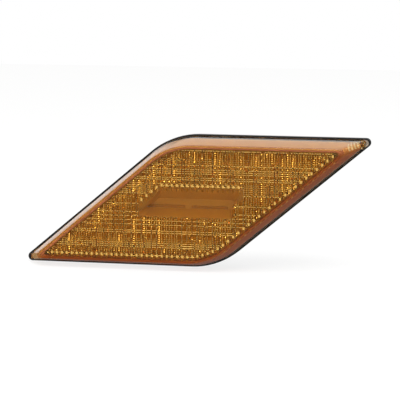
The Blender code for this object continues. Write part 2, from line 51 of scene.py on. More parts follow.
# Housing: flange, rim and rear body in one injection moulding of black ABS. The faces carry a
# fine spark-eroded grain, the edges are broken, and handling leaves them a little smoother.
class Socket:
    """A number, colour or shader inside a node tree; adding, scaling or comparing adds a Math node."""

    def __init__(self, owner, socket):
        self.owner = owner
        self.socket = socket

    def maths(self, operation, *values):
        return self.owner.node("ShaderNodeMath", {"operation": operation}, dict(enumerate(values)))

    def __add__(self, other):
        return self.maths("ADD", self, other)

    def __sub__(self, other):
        return self.maths("SUBTRACT", self, other)

    def __rsub__(self, other):
        return self.maths("SUBTRACT", other, self)

    def __mul__(self, other):
        return self.maths("MULTIPLY", self, other)

    def __truediv__(self, other):
        return self.maths("DIVIDE", self, other)

    def __lt__(self, other):
        return self.maths("LESS_THAN", self, other)

    def __gt__(self, other):
        return self.maths("GREATER_THAN", self, other)

    def __abs__(self):
        return self.maths("ABSOLUTE", self)

    def wave(self):
        return self.maths("SINE", self)

    def fraction(self):
        return self.maths("FRACT", self)

    def least(self, other):
        return self.maths("MINIMUM", self, other)

    def most(self, other):
        return self.maths("MAXIMUM", self, other)

    __radd__ = __add__
    __rmul__ = __mul__


class Nodes:
    """A node tree, and the one way in which this script adds nodes to it."""

    def __init__(self, tree):
        self.tree = tree

    def feed(self, socket, value):
        """Link a Socket to the node's socket, or set its value."""
        if isinstance(value, Socket):
            self.tree.links.new(value.socket, socket)
        elif isinstance(value, tuple) and socket.type == "RGBA":
            socket.default_value = (*value, 1.0)
        else:
            socket.default_value = value

    def node(self, kind, settings=None, sockets=None, out=0):
        """Add a node of the type, its settings first and then its sockets; gives one of its outputs."""
        made = self.tree.nodes.new(kind)
        for label, value in (settings or {}).items():
            setattr(made, label, value)
        for label, value in (sockets or {}).items():
            self.feed(made.inputs[label], value)
        return Socket(self, made.outputs[out])

    def place(self, output="Object"):
        """The x, y and z of the point on the lamp, in metres, or of another coordinate."""
        at = self.node("ShaderNodeTexCoord", out=output)
        return [self.node("ShaderNodeSeparateXYZ", {}, {0: at}, out=k) for k in range(3)]


class Finish(Nodes):
    """A material made of one Principled shader, the constants set on it and what varies over a piece."""

    def __init__(self, name, **constants):
        self.material = bpy.data.materials.new(name)
        self.material.use_nodes = True
        super().__init__(self.material.node_tree)
        self.shader = self.tree.nodes["Principled BSDF"]
        self.output = self.tree.nodes["Material Output"]
        self.vary(**constants)

    def vary(self, **inputs):
        """Feed the Principled shader's sockets."""
        for label, value in inputs.items():
            self.feed(self.shader.inputs[label.replace("_", " ")], value)

    def noise(self, size, detail=2.0):
        """Soft noise from 0 to 1 whose lumps are about the size, in metres."""
        at = self.node("ShaderNodeTexCoord", out="Object")
        return self.node("ShaderNodeTexNoise", {}, {"Vector": at, "Scale": 1.0 / size, "Detail": detail})

    def blend(self, share, first, second):
        """The first colour where the share is 0 and the second where it is 1."""
        return self.node("ShaderNodeMix", {"data_type": "RGBA"}, {0: share, 6: first, 7: second}, out=2)

    def bump(self, height, depth):
        """Tilt the surface by a height from 0 to 1 that stands for the depth, in metres."""
        sockets = {"Height": height, "Distance": depth, "Strength": 1.0}
        self.vary(Normal=self.node("ShaderNodeBump", {}, sockets))

    def give(self, *objects):
        """Put the material in the only slot of each object."""
        for item in objects:
            item.data.materials.clear()
            item.data.materials.append(self.material)


SAME_PLACE = 0.000005
FLAT_WITHIN = math.radians(0.5)
ROUND_WITHIN = math.radians(28.0)
EDGE_FROM = math.radians(40.0)
BROKEN_EDGE = 0.00012
GRAIN = 0.00022


def smooth_copy(name, node):
    """A merged copy of a CAD node with flat faces joined, its edges broken and its round walls smooth."""
    data = nodes[node].data.copy()
    mesh = bmesh.new()
    mesh.from_mesh(data)
    bmesh.ops.remove_doubles(mesh, verts=mesh.verts[:], dist=SAME_PLACE)
    bmesh.ops.dissolve_limit(mesh, angle_limit=FLAT_WITHIN, verts=mesh.verts[:], edges=mesh.edges[:])
    mesh.to_mesh(data)
    mesh.free()
    made = bpy.data.objects.new(name, data)
    scene.collection.objects.link(made)
    data.shade_smooth()
    data.set_sharp_from_angle(angle=ROUND_WITHIN)
    bevel = made.modifiers.new("broken edges", "BEVEL")
    bevel.width = BROKEN_EDGE
    bevel.segments = 2
    bevel.limit_method = "ANGLE"
    bevel.angle_limit = EDGE_FROM
    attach(made, "root")
    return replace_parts(made, node)


housing = smooth_copy("housing_moulding", "housing")
black_abs = Finish("black ABS", Specular_IOR_Level=0.25)
handling = black_abs.noise(0.018, 3.0)
grain = black_abs.noise(GRAIN)
black_abs.vary(
    Base_Color=black_abs.blend(handling, (0.011, 0.0105, 0.0105), (0.019, 0.018, 0.018)),
    Roughness=0.30 + 0.16 * handling,
)
black_abs.bump(grain, 0.000012)
black_abs.give(housing)

# Gasket: a die-cut sheet of closed-cell foam, 2 mm thick, that seals the flange to the body panel.
# Its skin shows fine open pores and takes a soft dent from handling.
PORES_PER_METRE = 2600.0
foam = Finish("gasket foam", Roughness=0.92, Specular_IOR_Level=0.25)
where = foam.node("ShaderNodeTexCoord", out="Object")
pores = foam.node(
    "ShaderNodeTexVoronoi", {"feature": "F1"}, {"Vector": where, "Scale": PORES_PER_METRE}, out="Distance",
).least(1.0)
dents = foam.noise(0.007)
# Painted shade: each pore is darker where the bump sinks deepest.
foam.vary(Base_Color=foam.blend(pores, (0.017, 0.017, 0.018), (0.050, 0.050, 0.052)))
foam.bump(0.75 * pores + 0.25 * dents, 0.00010)
foam.give(nodes["gasket"])

# Fixing studs: rolled M5 steel studs with round heads, zinc plated and clear passivated, pressed
# into the flange's pockets. The thread is one helix that follows the CAD's rings, 1 mm apart.
STUD_RADIUS = 0.0025
HEAD_PROFILE = [(0.0, 0.0), (0.0031, 0.0), (0.0035, 0.0003), (0.0035, 0.0022), (STUD_RADIUS, 0.0022)]
SHANK_START = 0.0023
POLE_RADIUS = 0.00005
THREAD_PITCH = 0.0010
THREAD_ROWS = 8
THREAD_SIDES = 36
THREAD_DEPTH = 0.00045
THREAD_SHARE = 0.9
THREAD_START = 0.0008
THREAD_FADE = 0.0008
POINT_LENGTH = 0.0006
POINT_CHAMFER = 0.0007
STUD_SHARP = math.radians(32.0)


def grid_mesh(name, points, close_rows=False):
    """A mesh over a grid of points, whose columns close on themselves. The rows close on themselves
    too, or else both end rows are capped."""
    rows, columns = points.shape[:2]
    index = np.arange(rows * columns).reshape(rows, columns)
    lower = index if close_rows else index[:-1]
    upper = np.roll(index, -1, axis=0) if close_rows else index[1:]
    quads = np.stack([lower, np.roll(lower, -1, axis=1), np.roll(upper, -1, axis=1), upper], axis=-1)
    faces = quads.reshape(-1, 4).tolist()
    if not close_rows:
        faces += [index[0][::-1].tolist(), index[-1].tolist()]
    data = bpy.data.meshes.new(name)
    data.from_pydata(points.reshape(-1, 3).tolist(), [], faces)
    return data


def face_outward(data):
    """Turn every face of a closed mesh outward."""
    mesh = bmesh.new()
    mesh.from_mesh(data)
    bmesh.ops.recalc_face_normals(mesh, faces=mesh.faces[:])
    mesh.to_mesh(data)
    mesh.free()


def stud_surface(centre, head_y, end_y):
    """Radius over depth and angle: the head's and shank's profile, less a triangle wave that climbs
    one pitch per turn and fades in below the shank's plain neck, less a chamfer at its point."""
    shank = np.arange(SHANK_START, end_y - head_y, THREAD_PITCH / THREAD_ROWS)
    y = head_y + np.concatenate([[depth for _, depth in HEAD_PROFILE], shank, [end_y - head_y]])
    radius = np.concatenate([[radius for radius, _ in HEAD_PROFILE], np.full(len(shank) + 1, STUD_RADIUS)])
    radius = np.maximum(radius, POLE_RADIUS)
    angle = np.linspace(0.0, 2.0 * np.pi, THREAD_SIDES, endpoint=False)
    phase = (y[:, None] - angle[None, :] / (2.0 * np.pi) * THREAD_PITCH) / THREAD_PITCH
    groove = 1.0 - np.abs(2.0 * (phase - np.floor(phase)) - 1.0)
    depth = THREAD_DEPTH * np.clip((y - THREAD_START) / THREAD_FADE, 0.0, 1.0)[:, None]
    chamfer = np.clip((y - end_y + POINT_LENGTH) / POINT_LENGTH, 0.0, 1.0)[:, None] * POINT_CHAMFER
    reach = radius[:, None] - depth * groove * THREAD_SHARE - chamfer
    points = np.empty((len(y), len(angle), 3))
    points[..., 0] = centre[0] + reach * np.cos(angle)
    points[..., 1] = y[:, None]
    points[..., 2] = centre[1] + reach * np.sin(angle)
    return points


zinc = Finish("zinc plate", Metallic=1.0)
spangle = zinc.noise(0.0014, 4.0)
zinc.vary(
    Base_Color=zinc.blend(spangle, (0.50, 0.51, 0.50), (0.70, 0.70, 0.66)),
    Roughness=0.24 + 0.20 * spangle,
)
zinc.bump(zinc.noise(0.00030), 0.000006)
for number in (1, 2):
    low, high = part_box("stud_%d" % number)
    centre = ((low.x + high.x) / 2.0, (low.z + high.z) / 2.0)
    data = grid_mesh("threaded_stud_%d" % number, stud_surface(centre, low.y, high.y))
    face_outward(data)
    data.shade_smooth()
    data.set_sharp_from_angle(angle=STUD_SHARP)
    stud = bpy.data.objects.new("threaded_stud_%d" % number, data)
    scene.collection.objects.link(stud)
    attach(stud, "root")
    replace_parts(stud, "stud_%d" % number)
    zinc.give(stud)

# Circuit board: 1.6 mm glass-epoxy laminate under a white solder mask, with the copper tracks
# showing through as faint raised lines. Four pan-head screws hold it on the body's bosses.
TRACK_PITCH = 0.0024
TRACK_HALF = 0.16
MASK_THICK = 0.00006
board = Finish("white solder mask")
x, y, z = board.place()
low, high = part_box("circuit_board")
tracks = abs((z / TRACK_PITCH).fraction() - 0.5) < TRACK_HALF
weave = board.noise(0.00045, 1.0)
mottle = board.noise(0.012)
edge_on = (y > low.y + MASK_THICK) * (y < high.y - MASK_THICK)
mask = board.blend(tracks * 0.30, (0.78, 0.74, 0.62), (0.60, 0.56, 0.42))
mask = board.blend(mottle * 0.25, mask, (0.66, 0.60, 0.46))
board.vary(Base_Color=board.blend(edge_on, mask, (0.42, 0.40, 0.20)), Roughness=0.30 + 0.2 * weave)
board.bump(0.7 * tracks + 0.3 * weave, 0.00003)
board.give(nodes["circuit_board"])
zinc.give(*[nodes["board_screw_%d" % number] for number in (1, 2, 3, 4)])

# LEDs: amber side-view packages, each a white moulded cup filled level with yellow phosphor resin
# and soldered on two pads.
ON_FACE = 0.0001
CUP_HALF_X = 0.36
CUP_HALF_Z = 0.34
for name in ["led_%d" % number for number in range(1, 7)]:
    low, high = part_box(name)
    package = Finish(name + " package")
    x, y, z = package.place()
    inside_x = abs(x - (low.x + high.x) / 2.0) < (high.x - low.x) * CUP_HALF_X
    inside_z = abs(z - (low.z + high.z) / 2.0) < (high.z - low.z) * CUP_HALF_Z
    front = y < low.y + ON_FACE
    resin = inside_x * inside_z * front
    cloud = package.noise(0.0004)
    phosphor = package.blend(cloud, (0.88, 0.60, 0.06), (0.95, 0.74, 0.14))
    package.vary(
        Base_Color=package.blend(resin, (0.82, 0.81, 0.78), phosphor),
        Roughness=0.42 - 0.24 * resin + 0.08 * cloud,
    )
    package.bump(1.0 - resin, 0.00010)
    package.give(nodes[name])

# Parts on the board's rear: black moulded chips, resistors with tinned ends, a diode and an
# aluminium capacitor, all reflow soldered.
RESISTOR_BODY_HALF = 0.30
CHIP_BODY_HALF = 0.46
for name in ["driver_chip", "resistor_1", "resistor_2", "resistor_3", "resistor_4", "input_diode"]:
    low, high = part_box(name)
    chip = Finish(name + " body")
    x, y, z = chip.place()
    reach = RESISTOR_BODY_HALF if name.startswith("resistor") else CHIP_BODY_HALF
    ends = abs(x - (low.x + high.x) / 2.0) > (high.x - low.x) * reach
    top = y > high.y - ON_FACE
    speck = chip.noise(0.00020, 3.0)
    black = chip.blend(speck, (0.012, 0.012, 0.013), (0.030, 0.030, 0.032))
    chip.vary(
        Base_Color=chip.blend(ends, black, (0.72, 0.72, 0.70)),
        Metallic=ends,
        Roughness=0.55 - 0.27 * ends + 0.10 * speck * top,
    )
    chip.bump(speck, 0.000015)
    chip.give(nodes[name])
VENT_HALF = 0.00012
can = Finish("aluminium can", Metallic=1.0)
x, y, z = can.place()
low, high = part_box("capacitor")
level = abs(z - (low.z + high.z) / 2.0) < VENT_HALF
vent_cross = (abs(x - (low.x + high.x) / 2.0) < VENT_HALF).most(level)
vent_cross = vent_cross * (y > high.y - 2.0 * ON_FACE)
brushing = can.noise(0.0005, 3.0)
# Painted shade: the vent cross is painted dark in its grooves.
can.vary(
    Base_Color=can.blend(vent_cross, (0.78, 0.78, 0.79), (0.30, 0.30, 0.31)),
    Roughness=0.25 + 0.15 * brushing,
)
can.bump(0.3 * brushing + 0.7 * (1.0 - vent_cross), 0.00004)
can.give(nodes["capacitor"])

# Terminals: three stamped brass blades, tin plated, soldered through the board and reaching into
# the inlet. Drawing the strip leaves fine lines along them.
tin = Finish("tinned brass", Metallic=1.0)
x, y, z = tin.place()
drawn_out = tin.node("ShaderNodeCombineXYZ", {}, {0: x * 6.0, 1: y * 0.4, 2: z * 6.0})
drawn = tin.node("ShaderNodeTexNoise", {}, {"Vector": drawn_out, "Scale": 900.0})
wiped = tin.noise(0.004)
tin.vary(
    Base_Color=tin.blend(wiped, (0.74, 0.71, 0.64), (0.83, 0.81, 0.76)),
    Roughness=0.20 + 0.18 * drawn,
)
tin.bump(drawn, 0.000006)
tin.give(*[nodes["terminal_%d" % number] for number in (1, 2, 3)])

# Reflector tray: an injection-moulded inner cover in warm amber-brown, satin, with a trough round
# the two slots that the LEDs shine through.
moulded = Finish("amber-brown tray")
flow = moulded.noise(0.010)
fine = moulded.noise(0.00035)
x, y, z = moulded.place()
tray_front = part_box("reflector_tray")[0].y
# Painted light: inside the trough the colour is a lighter copy of the plate's.
inside = y > tray_front + 2.0 * ON_FACE
plate = moulded.blend(flow, (0.46, 0.225, 0.018), (0.55, 0.265, 0.025))
painted_lit_trough = moulded.blend(flow, (0.66, 0.340, 0.042), (0.75, 0.385, 0.052))
moulded.vary(
    Base_Color=moulded.blend(inside, plate, painted_lit_trough),
    Roughness=0.32 + 0.12 * flow,
)
moulded.bump(fine, 0.000010)
moulded.give(nodes["reflector_tray"])

# Light bars: two strips of clouded amber acrylic snapped into the tray's slots, level with the
# trough's floor. They spread the light of the LEDs behind them.
SLOTS = [(-0.0250, -0.0045), (-0.0013, 0.0186)]
SLOT_TOP = -0.0018
SLOT_FOOT = -0.0033
TROUGH_DEPTH = 0.0080
BAR_THICK = 0.0011
BAR_PLAY = 0.00006
BAR_SINK = 0.00003
BAR_CORNER = 0.00012
BAR_SHARP = math.radians(40.0)
floor_y = tray_front + TROUGH_DEPTH
clouded = Finish("clouded amber acrylic")
cloud = clouded.noise(0.0018, 3.0)
clouded.vary(
    Base_Color=clouded.blend(cloud, (0.50, 0.20, 0.012), (0.62, 0.27, 0.020)),
    Roughness=0.18 + 0.14 * cloud,
)
clouded.bump(cloud, 0.00003)


def rounded_box(name, low, high, corner, steps=5):
    """A box whose four edges along Y are round and whose front and rear edges are broken: rings of
    a rounded rectangle, drawn in by the corner's sine and cosine at both ends."""
    turn = np.linspace(0.0, 0.5 * np.pi, steps)
    quarter = np.concatenate([turn + k * 0.5 * np.pi for k in range(4)])
    side_x = np.repeat([1.0, -1.0, -1.0, 1.0], steps) * ((high[0] - low[0]) / 2.0 - corner)
    side_z = np.repeat([1.0, 1.0, -1.0, -1.0], steps) * ((high[2] - low[2]) / 2.0 - corner)
    reach = corner * np.concatenate([np.sin(turn), np.cos(turn)])
    depth = np.concatenate([low[1] + corner * (1.0 - np.cos(turn)), high[1] - corner * (1.0 - np.sin(turn))])
    points = np.empty((len(depth), len(quarter), 3))
    points[..., 0] = (low[0] + high[0]) / 2.0 + side_x + reach[:, None] * np.cos(quarter)
    points[..., 1] = depth[:, None]
    points[..., 2] = (low[2] + high[2]) / 2.0 + side_z + reach[:, None] * np.sin(quarter)
    return grid_mesh(name, points)


for number, (left, right) in enumerate(SLOTS, 1):
    name = "light_bar_%d" % number
    low = (left + BAR_PLAY, floor_y + BAR_SINK, SLOT_FOOT + BAR_PLAY)
    high = (right - BAR_PLAY, floor_y + BAR_THICK, SLOT_TOP - BAR_PLAY)
    data = rounded_box(name, low, high, BAR_CORNER)
    face_outward(data)
    data.shade_smooth()
    data.set_sharp_from_angle(angle=BAR_SHARP)
    bar = bpy.data.objects.new(name, data)
    scene.collection.objects.link(bar)
    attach(bar, "root")
    clouded.give(bar)

# Lens: a cap moulded in clear amber acrylic. The rear of its face carries upright columns crossed
# by level rows, three to each CAD row, and roof prisms end the columns below and over a clear window.
# A coat inside the walls hides the housing's rib and the bead. Its colour is painted light and shade, cream
# above and left and red-brown below and right, with painted highlights along the mitres at the tips.
SIDE_LENGTH = 0.1100
SLANT = math.radians(39.8)
BEND_RADIUS = 0.0400
TIP_RADIUS = 0.0024
LENS_TIP_RADIUS = 0.0022
INNER_TIP_RADIUS = 0.0010
LENS_WALL = 0.0015
BASE_INSET = 0.0009
KNEE_INSET = 0.0011
FACE_INSET = 0.0042
KNEE_DEPTH = 0.0127
EDGE_RADIUS = 0.0006
EDGE_STEPS = 9
FACE_WALL = 0.0024
COLUMN_PITCH = 0.00275
COLUMN_STEPS = (0.0, 1.0, 1.0, 0.0)
COLUMN_HEIGHT = 0.00088
ROW_PITCH = 0.00110
ROW_STEPS = (0.0, 1.0)
ROW_HEIGHT = 0.00040
COLUMN_UNEVEN = 1.15
ROW_UNEVEN = 0.45
SEGMENT = 26
OPTIC_ROOT = 0.0008
OPTIC_INSET = 0.00654
OPTIC_DEPTH = 0.0070
COAT_MARGIN = 0.0008
OVERLAP = 0.001
PIP_WIDTH = 0.00100
PIP_HEIGHT = 0.00380
PIP_UPPER = math.radians(46.0)
PIP_LOWER = math.radians(38.0)
PIP_FOOT = 0.0006
PIP_LIFT = 0.0001
PIP_PHASE = 0.75
NOTCH_PLAY = 0.0001
NOTCH_FRONT = 0.00002
NOTCH_BACK = 0.005
WINDOW = [(-0.0272, -0.0070), (0.0232, -0.0070), (0.0240, 0.0009), (0.0293, 0.0029), (0.0293, 0.0089),
          (-0.0157, 0.0089), (-0.0272, -0.0007)]
TIP_STEPS = 14
BEND_STEPS = 28
LENS_SHARP = math.radians(24.0)
lens_low, lens_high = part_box("lens")
face_y = lens_low.y
base_y = lens_high.y
knee_y = face_y + KNEE_DEPTH
inner_y = face_y + FACE_WALL
rim_low, rim_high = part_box("housing")
lamp_height = rim_high.z - rim_low.z
half_length = (SIDE_LENGTH + lamp_height / math.tan(SLANT)) / 2.0


def outline(inset, tip_radius):
    """The lamp's outline moved inward by the inset; an array of x and z. Each corner is an arc about
    the point that lies its radius inside both sides, and the upper half is the lower one turned over."""
    tip = inset + tip_radius
    tip_x = -half_length + tip * (1.0 + math.cos(SLANT)) / math.sin(SLANT)
    bend_x = SIDE_LENGTH - half_length - BEND_RADIUS * (1.0 - math.cos(SLANT)) / math.sin(SLANT)
    bottom = -lamp_height / 2.0
    tip_angle = np.linspace(math.pi / 2.0 + SLANT, 1.5 * math.pi, TIP_STEPS + 1)
    bend_angle = np.linspace(1.5 * math.pi, 1.5 * math.pi + SLANT, BEND_STEPS + 1)
    radius = BEND_RADIUS - inset
    x = np.concatenate([tip_x + tip_radius * np.cos(tip_angle), bend_x + radius * np.cos(bend_angle)])
    z = np.concatenate([
        bottom + tip + tip_radius * np.sin(tip_angle),
        bottom + BEND_RADIUS + radius * np.sin(bend_angle),
    ])
    half = np.stack([x, z], axis=-1)
    return np.concatenate([half, -half])


def swept(profile, tip_radius=None):
    """The outline carried through a list of insets and depths; an array of rows of points. With no
    tip radius given, each row's is the housing's less its inset, down to the inner one."""
    rows = []
    for inset, depth in profile:
        flat = outline(inset, tip_radius or max(INNER_TIP_RADIUS, TIP_RADIUS - inset))
        rows.append(np.stack([flat[:, 0], np.full(len(flat), depth), flat[:, 1]], axis=-1))
    return np.stack(rows)


def prism(name, flat, front, back):
    """A straight-sided solid over a flat array of x and z."""
    rows = [np.stack([flat[:, 0], np.full(len(flat), depth), flat[:, 1]], axis=-1) for depth in (front, back)]
    return solid(name, grid_mesh(name, np.stack(rows)))


def solid(name, data):
    """An object in the scene made of a closed mesh whose faces point outward."""
    face_outward(data)
    made = bpy.data.objects.new(name, data)
    scene.collection.objects.link(made)
    return made


def unlike(index, seed):
    """A repeatable number from 0 to 1 for each whole number: the fraction of a large sine."""
    value = np.sin(index * 12.9898 + seed * 78.233) * 43758.5453
    return value - np.floor(value)


def ridge_block(name):
    """A block on a grid of equal steps. Its rear stands at the root, plus the column's height times
    its step's share along x and the row's along z, with each ridge a little unlike the next."""
    step_x = COLUMN_PITCH / len(COLUMN_STEPS)
    step_z = ROW_PITCH / len(ROW_STEPS)
    count_x = int(half_length / step_x) + 2
    count_z = int(lamp_height / 2.0 / step_z) + 1
    i = np.arange(-count_x, count_x + 1)
    j = np.arange(-count_z, count_z + 1)
    column = (i // len(COLUMN_STEPS))[None, :]
    length = (j[:, None] + np.floor(SEGMENT * unlike(column, 3.0))) // SEGMENT
    columns = COLUMN_HEIGHT * (1.0 + COLUMN_UNEVEN * (unlike(column + 31.0 * length, 1.0) - 0.5))
    columns = columns * np.array(COLUMN_STEPS)[i % len(COLUMN_STEPS)][None, :]
    rows = ROW_HEIGHT * (1.0 + ROW_UNEVEN * (unlike(j // len(ROW_STEPS), 2.0) - 0.5))
    rows = rows * np.array(ROW_STEPS)[j % len(ROW_STEPS)]
    x = np.broadcast_to(i[None, :] * step_x, (len(j), len(i)))
    z = np.broadcast_to(j[:, None] * step_z, (len(j), len(i)))
    rear = np.stack([x, inner_y + OPTIC_ROOT + columns + rows[:, None], z], axis=-1)
    index = np.arange(x.size).reshape(x.shape)
    quads = np.stack([index[:-1, :-1], index[:-1, 1:], index[1:, 1:], index[1:, :-1]], axis=-1).reshape(-1, 4)
    rim = np.concatenate([index[0, :-1], index[:-1, -1], index[-1, :0:-1], index[:0:-1, 0]])
    foot = rear.reshape(-1, 3)[rim]
    foot[:, 1] = face_y + FACE_WALL / 2.0
    foot_index = x.size + np.arange(len(rim))
    walls = np.stack([rim, np.roll(rim, -1), np.roll(foot_index, -1), foot_index], axis=-1)
    data = bpy.data.meshes.new(name)
    data.from_pydata(
        np.concatenate([rear.reshape(-1, 3), foot]).tolist(), [],
        quads.tolist() + walls.tolist() + [foot_index.tolist()],
    )
    return solid(name, data)


def repeated(name, points, faces, centres):
    """One closed block, given by its points and faces, copied to each centre: the points plus the
    centres, and the faces' numbers raised by one block's points each time."""
    points = np.array(points)
    all_points = points[None, :, :] + centres[:, None, :]
    corners = np.concatenate(faces)[None, :] + len(points) * np.arange(len(centres))[:, None]
    ends = np.cumsum([len(face) for face in faces] * len(centres))[:-1]
    raised = [face.tolist() for face in np.split(corners.ravel(), ends)]
    data = bpy.data.meshes.new(name)
    data.from_pydata(all_points.reshape(-1, 3).tolist(), [], raised)
    return solid(name, data)


def roof_pips(name, centres):
    """Roof prisms with a level ridge line. The upper slope leans 46 degrees and the lower one 38, so
    that light from the front turns twice and leaves a little below level: the ridge's height over
    each foot is that foot's distance times its slope."""
    upper, lower = math.tan(PIP_UPPER), math.tan(PIP_LOWER)
    w, top, low = PIP_WIDTH / 2.0, PIP_HEIGHT * lower / (upper + lower), -PIP_HEIGHT * upper / (upper + lower)
    ridge = top * upper
    points = [(x, y, z) for y in (-PIP_FOOT, 0.0) for x, z in ((-w, low), (w, low), (w, top), (-w, top))]
    points += [(-w, ridge, 0.0), (w, ridge, 0.0)]
    faces = [(0, 1, 2, 3), (0, 1, 5, 4), (2, 3, 7, 6), (4, 5, 9, 8), (6, 7, 8, 9),
             (1, 2, 6, 9, 5), (3, 0, 4, 8, 7)]
    return repeated(name, points, faces, centres)


def pip_notches(name, centres):
    """Boxes that clear the ridges behind and above each pip's upper slope."""
    w, low, high = PIP_WIDTH / 2.0 + NOTCH_PLAY, -PIP_HEIGHT / 2.0, PIP_HEIGHT / 2.0 + NOTCH_PLAY
    flat = ((-w, low), (w, low), (w, high), (-w, high))
    points = [(x, y, z) for y in (NOTCH_FRONT, NOTCH_BACK) for x, z in flat]
    faces = [(0, 1, 2, 3), (4, 5, 6, 7), (0, 1, 5, 4), (1, 2, 6, 5), (2, 3, 7, 6), (3, 0, 4, 7)]
    return repeated(name, points, faces, centres)


AMBER_TINT = (0.901, 0.672, 0.034)
AMBER_DENSITY = 270.0
COAT_FADE = 0.004
HIGHLIGHT_PITCH = 0.0013
HIGHLIGHT_OFFSET = 0.0006
HIGHLIGHT_HALF = 0.0012
HIGHLIGHT_START = 0.0050
HIGHLIGHT_END = 0.0150
amber = Finish("amber acrylic", Base_Color=(1.0, 1.0, 1.0), IOR=1.49, Transmission_Weight=1.0)
amber.vary(Roughness=0.004 + 0.010 * amber.noise(0.02))
absorbed = {"Color": AMBER_TINT, "Density": AMBER_DENSITY}
amber.feed(amber.output.inputs["Volume"], amber.node("ShaderNodeVolumeAbsorption", {}, absorbed))
lacquer = Finish("lacquer with painted light and shade")
brushed = lacquer.noise(0.006, 3.0)
x, y, z = lacquer.place()
# Painted light and shade: the coat is cream above and left of the diagonal, where light falls, and red-brown
# below and right of it, in shade.
shade_side = ((x * (lamp_height / 2.0 / half_length) - z) / COAT_FADE + 0.5).least(1.0).most(0.0)
lit_coat = lacquer.blend(brushed, (0.76, 0.455, 0.212), (0.83, 0.508, 0.250))
shaded_coat = lacquer.blend(brushed, (0.55, 0.16, 0.06), (0.62, 0.20, 0.08))
# The strip of coat on the face is painted too: a pink highlight above and a dark shade below.
on_face = y < inner_y + ON_FACE
lit_coat = lacquer.blend(on_face, lit_coat, (0.70, 0.30, 0.28))
shaded_coat = lacquer.blend(on_face, shaded_coat, (0.30, 0.085, 0.035))
lit_and_shaded_coat = lacquer.blend(shade_side, lit_coat, shaded_coat)
# Painted highlight: near-white stripes along each tip's mitre stand in for the glints there.
toward = (x > 0.0) * 2.0 - 1.0
across = half_length - abs(x)
down = lamp_height / 2.0 - z * toward
along = across * math.cos(SLANT / 2.0) + down * math.sin(SLANT / 2.0)
off = down * math.cos(SLANT / 2.0) - across * math.sin(SLANT / 2.0)
stripes = (along * (2.0 * math.pi / HIGHLIGHT_PITCH)).wave() * 0.5 + 0.5
mitre_highlight_band = (abs(off + HIGHLIGHT_OFFSET) < HIGHLIGHT_HALF) * (along > HIGHLIGHT_START) * (along < HIGHLIGHT_END)
lacquer.vary(
    Base_Color=lacquer.blend(stripes * mitre_highlight_band, lit_and_shaded_coat, (0.98, 0.90, 0.80)),
    Roughness=0.48 + 0.14 * brushed,
)

slope = (FACE_INSET - KNEE_INSET) / KNEE_DEPTH
lean_angle = math.atan(slope)
edge_run = EDGE_RADIUS * math.tan((math.pi / 2.0 - lean_angle) / 2.0)
turns = lean_angle + (math.pi / 2.0 - lean_angle) * np.linspace(0.0, 1.0, EDGE_STEPS)
edge = np.stack([
    FACE_INSET + edge_run - EDGE_RADIUS * np.cos(turns),
    face_y + EDGE_RADIUS - EDGE_RADIUS * np.sin(turns),
], axis=-1)
inner_shift = LENS_WALL / math.cos(lean_angle)
outer_profile = [(BASE_INSET, base_y), (KNEE_INSET, knee_y), *edge.tolist()]
inner_corner = KNEE_INSET + inner_shift + (knee_y - inner_y) * slope
inner_profile = [
    (BASE_INSET + LENS_WALL, base_y + OVERLAP),
    (BASE_INSET + LENS_WALL, base_y),
    (KNEE_INSET + inner_shift, knee_y),
    (inner_corner, inner_y),
    (inner_corner + COAT_MARGIN, inner_y),
]
shell = solid("lens_amber", grid_mesh("lens_amber", swept(outer_profile, LENS_TIP_RADIUS)))
shell.data.shade_smooth()
hollow = solid("lens hollow", grid_mesh("lens hollow", swept(inner_profile, INNER_TIP_RADIUS)))
hollow.data.shade_smooth()
around = len(outline(0.0, INNER_TIP_RADIUS))
coated = np.zeros(len(hollow.data.polygons), np.int32)
coated[2 * around:4 * around] = 1
hollow.data.polygons.foreach_set("material_index", coated)
ridges = ridge_block("ridges")
border = outline(OPTIC_INSET, INNER_TIP_RADIUS)
field_foot = np.concatenate([border[TIP_STEPS:len(border) // 2], -border[:1]])
window_top = np.array(WINDOW[:3:-1])
count = int(half_length / COLUMN_PITCH) + 1
crests = (np.arange(-count, count + 1) + PIP_PHASE) * COLUMN_PITCH
pip_rows = []
for line in (field_foot, window_top):
    pip_x = crests[(crests > line[0, 0]) & (crests < line[-1, 0])]
    pip_z = np.interp(pip_x, line[:, 0], line[:, 1]) + PIP_LIFT
    pip_rows.append(np.stack([pip_x, np.full(len(pip_x), inner_y), pip_z], axis=-1))
pip_places = np.concatenate(pip_rows)
pips = roof_pips("pips", pip_places)
notches = pip_notches("notches", pip_places)
optic_y = face_y + OPTIC_DEPTH
field = prism("ridge field", border, face_y - OVERLAP, optic_y)
window = prism("clear window", np.array(WINDOW), face_y - 2.0 * OVERLAP, optic_y + OVERLAP)
for item in (shell, hollow, ridges, field, window, pips, notches):
    item.data.materials.append(amber.material)
    item.data.materials.append(lacquer.material)
for target, tool, how in (
    (ridges, field, "INTERSECT"),
    (ridges, window, "DIFFERENCE"),
    (ridges, notches, "DIFFERENCE"),
    (shell, hollow, "DIFFERENCE"),
    (shell, ridges, "UNION"),
    (shell, pips, "UNION"),
):
    step = target.modifiers.new(how, "BOOLEAN")
    step.operation = how
    step.solver = "EXACT"
    step.object = tool
bpy.context.view_layer.update()
finished = bpy.data.meshes.new_from_object(shell.evaluated_get(bpy.context.evaluated_depsgraph_get()))
shell.modifiers.clear()
shell.data = finished
for tool in (hollow, ridges, field, window, pips, notches):
    bpy.data.objects.remove(tool)
finished.name = "lens_amber"
finished.set_sharp_from_angle(angle=LENS_SHARP)
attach(shell, "root")
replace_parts(shell, "lens")

